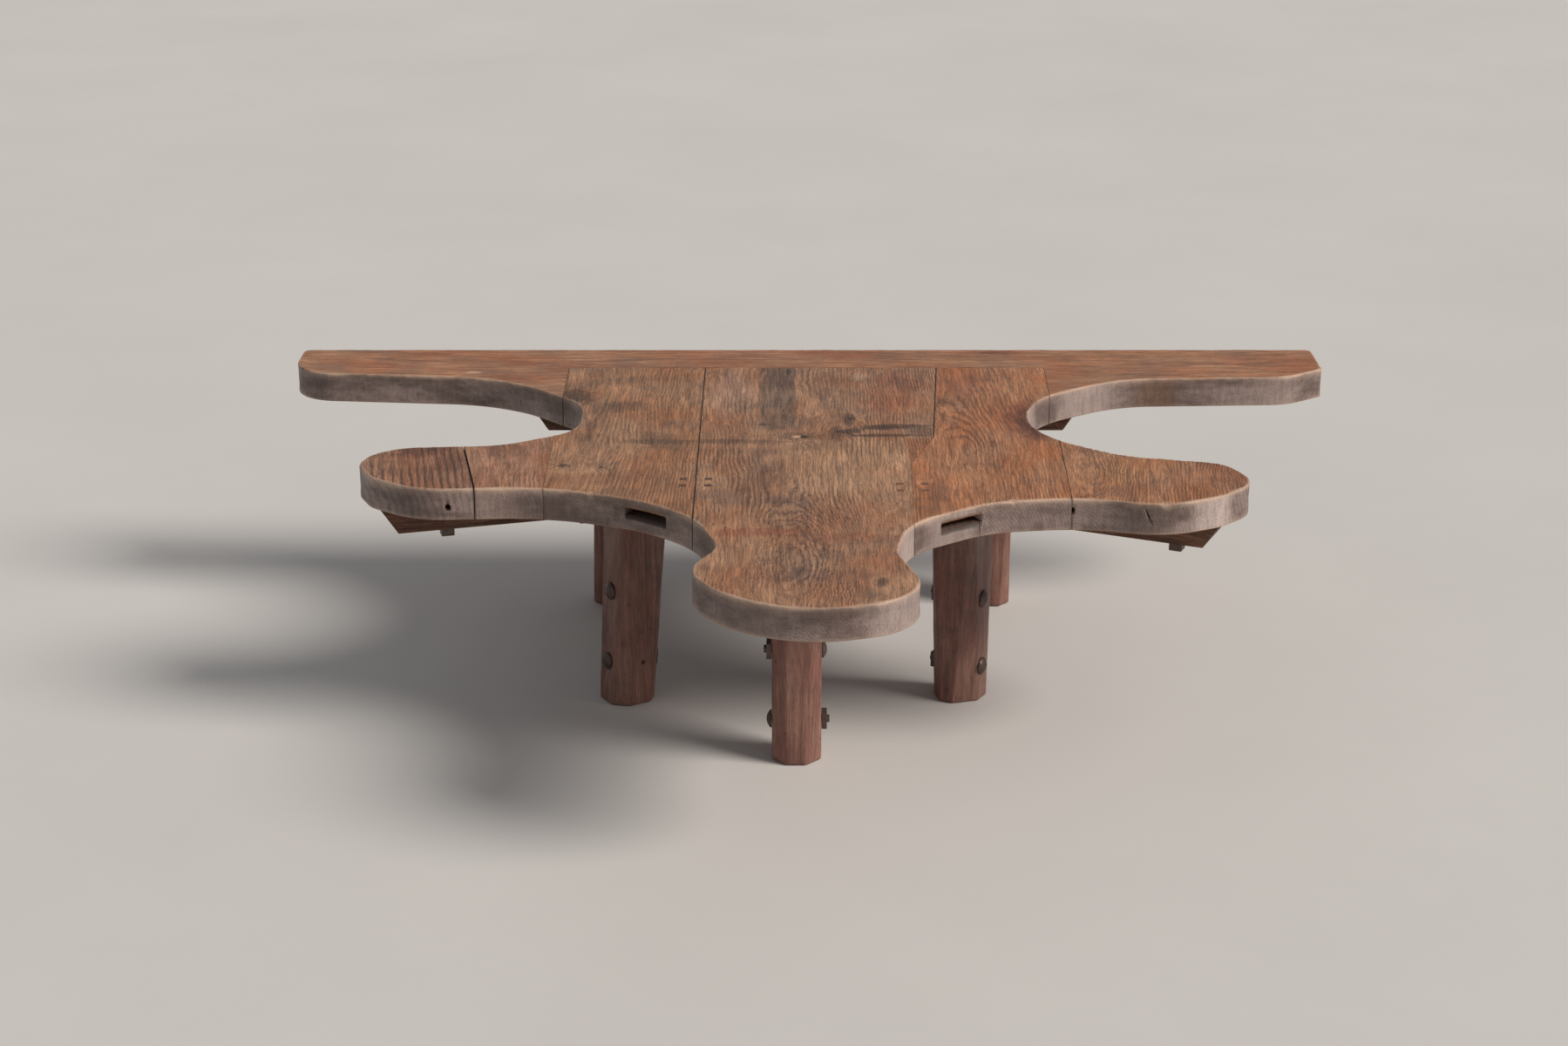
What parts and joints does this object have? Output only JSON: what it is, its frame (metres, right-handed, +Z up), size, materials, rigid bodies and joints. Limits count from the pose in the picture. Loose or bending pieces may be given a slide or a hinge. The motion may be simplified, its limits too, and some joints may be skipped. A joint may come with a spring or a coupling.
{
  "type": "low workbench table",
  "caption": "Low rustic table with a thick lobed top, scalloped sitting places along its edge, bevelled battens underneath and short chamfered post legs with old bolts.",
  "frame": {"origin": "centre of the table's footprint on the floor (centre of its bounding box, at the bottom of the feet)", "axes": "+X along the straight back edge, +Y from the front lobe towards the straight back edge, +Z up; the picture looks along +Y"},
  "size_m": [1.756, 1.2619, 0.415],
  "materials": {
    "plank_wood": "worn oiled, matt",
    "board_wood": "worn dry, matt",
    "batten_wood": "old rough sawn, matt",
    "leg_wood": "old planed, matt",
    "peg_wood": "worn end grain, matt",
    "iron": "aged, rust-browned"
  },
  "bodies": {
    "root": {"back_plank": "plank_wood", "wing_left": "plank_wood", "wing_right": "plank_wood", "board_left_outer": "board_wood", "board_left_lobe": "board_wood", "board_left": "board_wood", "board_centre": "board_wood", "board_right": "board_wood", "board_right_outer": "board_wood", "batten_front_left": "batten_wood", "batten_front_right": "batten_wood", "batten_rear": "batten_wood", "leg_front": "leg_wood", "leg_mid_left": "leg_wood", "leg_mid_right": "leg_wood", "leg_rear_left": "leg_wood", "leg_rear_right": "leg_wood", "leg_bolts": "iron", "leg_nuts": "iron", "batten_spikes": "iron", "loose_tongues": "peg_wood", "tongue_pegs": "peg_wood"}
  },
  "joints": []
}
